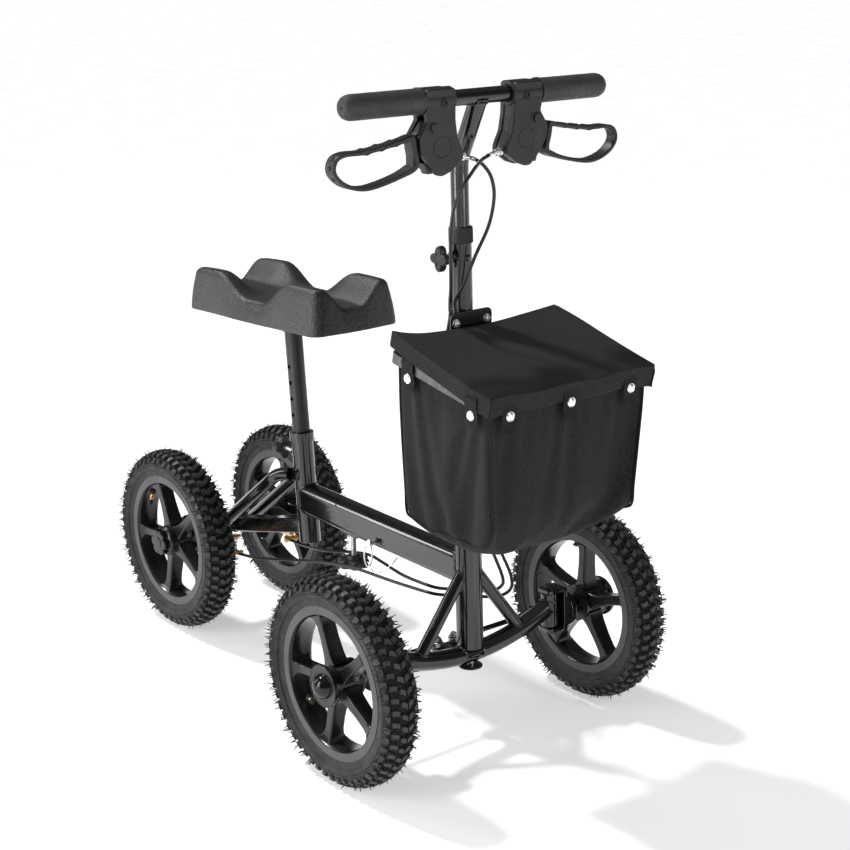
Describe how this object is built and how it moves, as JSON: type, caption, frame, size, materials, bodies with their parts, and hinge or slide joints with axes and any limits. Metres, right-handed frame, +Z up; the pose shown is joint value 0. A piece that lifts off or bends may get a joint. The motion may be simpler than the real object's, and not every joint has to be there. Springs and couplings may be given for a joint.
{
  "type": "knee scooter",
  "caption": "Steerable knee scooter with pneumatic all-terrain wheels, kneeling pad on a height-adjustable post, folding T-bar with brake levers and a lidded fabric basket.",
  "frame": {"origin": "on the ground, under the middle of the scooter's outer box", "axes": "+Z up; -Y is forward, the way it rides; +X is the rider's left; x = 0 is the plane of symmetry"},
  "size_m": [0.5606, 0.9979, 0.957],
  "materials": {
    "paint": "gloss black powder coat",
    "wheel": "satin black moulded nylon",
    "tyre": "matte black rubber, knobbly tread",
    "grip": "matte dark grey ribbed rubber",
    "lever": "matte black moulded plastic",
    "knob": "matte black moulded plastic",
    "pad": "matte dark grey fine-grained upholstery",
    "basket": "black woven polyester",
    "ring": "satin grey steel flat bar",
    "chrome": "bright zinc or chrome",
    "zinc": "yellow passivated steel",
    "cable": "black cable housing"
  },
  "bodies": {
    "frame": {"head_tube": "paint", "headset_cup": "chrome", "main_beam": "paint", "beam_insert": "paint", "seat_tube": "paint", "seat_clamp": "paint", "front_axle_tube": "paint", "strut_right": "paint", "strut_left": "paint", "rear_stay_right": "paint", "rear_stay_left": "paint", "rear_lower_stay": "paint", "rear_axle_tube": "paint", "rear_axle": "chrome", "brake_plate_right": "zinc", "brake_plate_left": "zinc", "cable_lower_right": "cable", "cable_lower_left": "cable", "pin_lanyard": "cable"},
    "column": {"steering_column": "paint", "column_clamp": "paint", "pitman_arm": "paint", "steering_spindle": "chrome", "basket_bracket": "paint", "basket_ring": "ring", "basket_bag": "basket"},
    "column_knob": {"column_knob": "knob"},
    "lid": {"basket_lid": "basket"},
    "stem": {"stem_tube": "paint", "handlebar": "paint", "grip_right": "grip", "grip_left": "grip", "brake_housing_right": "lever", "brake_housing_left": "lever", "cable_adjuster_right": "chrome", "cable_adjuster_left": "chrome", "cable_upper_right": "cable", "cable_upper_left": "cable"},
    "seat": {"seat_post": "paint", "seat_plate": "paint", "knee_pad": "pad"},
    "seat_knob": {"seat_knob": "knob"},
    "beam_knob": {"beam_knob": "knob"},
    "safety_pin": {"safety_pin": "chrome"},
    "lever_right": {"brake_lever_right": "lever"},
    "knuckle_right": {"knuckle_right": "paint"},
    "tie_rod_right": {"tie_rod_right": "chrome"},
    "brake_arm_right": {"brake_arm_right": "zinc"},
    "front_wheel_right": {"wheel_front_right": "wheel", "tyre_front_right": "tyre"},
    "rear_wheel_right": {"wheel_rear_right": "wheel", "tyre_rear_right": "tyre"},
    "lever_left": {"brake_lever_left": "lever"},
    "knuckle_left": {"knuckle_left": "paint"},
    "tie_rod_left": {"tie_rod_left": "chrome"},
    "brake_arm_left": {"brake_arm_left": "zinc"},
    "front_wheel_left": {"wheel_front_left": "wheel", "tyre_front_left": "tyre"},
    "rear_wheel_left": {"wheel_rear_left": "wheel", "tyre_rear_left": "tyre"}
  },
  "joints": [
    {"name": "steering", "type": "hinge", "parent": "frame", "child": "column", "pos_m": [0, -0.27691, 0.3], "axis": [0, 0.0447, 0.999], "range_deg": [-32, 32], "deforming": ["cable_lower_right", "cable_lower_left"]},
    {"name": "handlebar_height", "type": "slide", "parent": "column", "child": "stem", "axis": [0, 0.0447, 0.999], "range_m": [-0.06, 0.09], "deforming": ["cable_upper_right", "cable_upper_left"]},
    {"name": "column_knob_turn", "type": "hinge", "parent": "column", "child": "column_knob", "pos_m": [0, -0.25819, 0.7185], "axis": [-1, 0, 0], "range_deg": [0, 360]},
    {"name": "lid_open", "type": "hinge", "parent": "column", "child": "lid", "pos_m": [0, -0.2905, 0.6335], "axis": [-1, 0, 0], "range_deg": [0, 80]},
    {"name": "brake_lever_right_squeeze", "type": "hinge", "parent": "stem", "child": "lever_right", "pos_m": [-0.0905, -0.2921, 0.907], "axis": [0, 1, 0], "range_deg": [0, 14], "stiffness_Nm_per_rad": 1.2, "springref_deg": -6.88},
    {"name": "brake_lever_left_squeeze", "type": "hinge", "parent": "stem", "child": "lever_left", "pos_m": [0.0905, -0.2921, 0.907], "axis": [0, -1, 0], "range_deg": [0, 14], "stiffness_Nm_per_rad": 1.2, "springref_deg": -6.88},
    {"name": "seat_height", "type": "slide", "parent": "frame", "child": "seat", "axis": [0, 0.1045, 0.9945], "range_m": [-0.05, 0.05]},
    {"name": "seat_knob_turn", "type": "hinge", "parent": "frame", "child": "seat_knob", "pos_m": [0, 0.13525, 0.331], "axis": [0, 1, 0], "range_deg": [0, 360]},
    {"name": "beam_knob_turn", "type": "hinge", "parent": "frame", "child": "beam_knob", "pos_m": [0, 0.001, 0.186], "axis": [0, 0, -1], "range_deg": [0, 360]},
    {"name": "safety_pin_pull", "type": "slide", "parent": "frame", "child": "safety_pin", "axis": [-1, 0, 0], "range_m": [0, 0.045], "deforming": ["pin_lanyard"]},
    {"name": "kingpin_right", "type": "hinge", "parent": "frame", "child": "knuckle_right", "pos_m": [-0.158, -0.2835, 0.1525], "axis": [0, 0.0447, 0.999], "range_deg": [-32, 32]},
    {"name": "tie_rod_right_pivot", "type": "hinge", "parent": "column", "child": "tie_rod_right", "pos_m": [-0.015, -0.2279, 0.11995], "axis": [0, 0.0447, 0.999], "range_deg": [-32, 32]},
    {"name": "front_wheel_right_spin", "type": "hinge", "parent": "knuckle_right", "child": "front_wheel_right", "pos_m": [-0.2348, -0.2835, 0.1525], "axis": [1, 0, 0], "continuous": true},
    {"name": "rear_wheel_right_spin", "type": "hinge", "parent": "frame", "child": "rear_wheel_right", "pos_m": [-0.11425, 0.3489, 0.1525], "axis": [1, 0, 0], "continuous": true},
    {"name": "brake_arm_right_pull", "type": "hinge", "parent": "frame", "child": "brake_arm_right", "pos_m": [-0.0675, 0.316, 0.14], "axis": [-1, 0, 0], "range_deg": [0, 18]},
    {"name": "kingpin_left", "type": "hinge", "parent": "frame", "child": "knuckle_left", "pos_m": [0.158, -0.2835, 0.1525], "axis": [0, 0.0447, 0.999], "range_deg": [-32, 32]},
    {"name": "tie_rod_left_pivot", "type": "hinge", "parent": "column", "child": "tie_rod_left", "pos_m": [0.015, -0.2279, 0.11995], "axis": [0, 0.0447, 0.999], "range_deg": [-32, 32]},
    {"name": "front_wheel_left_spin", "type": "hinge", "parent": "knuckle_left", "child": "front_wheel_left", "pos_m": [0.2348, -0.2835, 0.1525], "axis": [1, 0, 0], "continuous": true},
    {"name": "rear_wheel_left_spin", "type": "hinge", "parent": "frame", "child": "rear_wheel_left", "pos_m": [0.11425, 0.3489, 0.1525], "axis": [1, 0, 0], "continuous": true},
    {"name": "brake_arm_left_pull", "type": "hinge", "parent": "frame", "child": "brake_arm_left", "pos_m": [0.0675, 0.316, 0.14], "axis": [-1, 0, 0], "range_deg": [0, 18]}
  ],
  "couplings": [
    {"joint": "kingpin_right", "follows": "steering", "ratio": 1},
    {"joint": "tie_rod_right_pivot", "follows": "steering", "ratio": -1},
    {"joint": "brake_arm_right_pull", "follows": "brake_lever_right_squeeze", "ratio": 1.2},
    {"joint": "kingpin_left", "follows": "steering", "ratio": 1},
    {"joint": "tie_rod_left_pivot", "follows": "steering", "ratio": -1},
    {"joint": "brake_arm_left_pull", "follows": "brake_lever_left_squeeze", "ratio": 1.2}
  ]
}
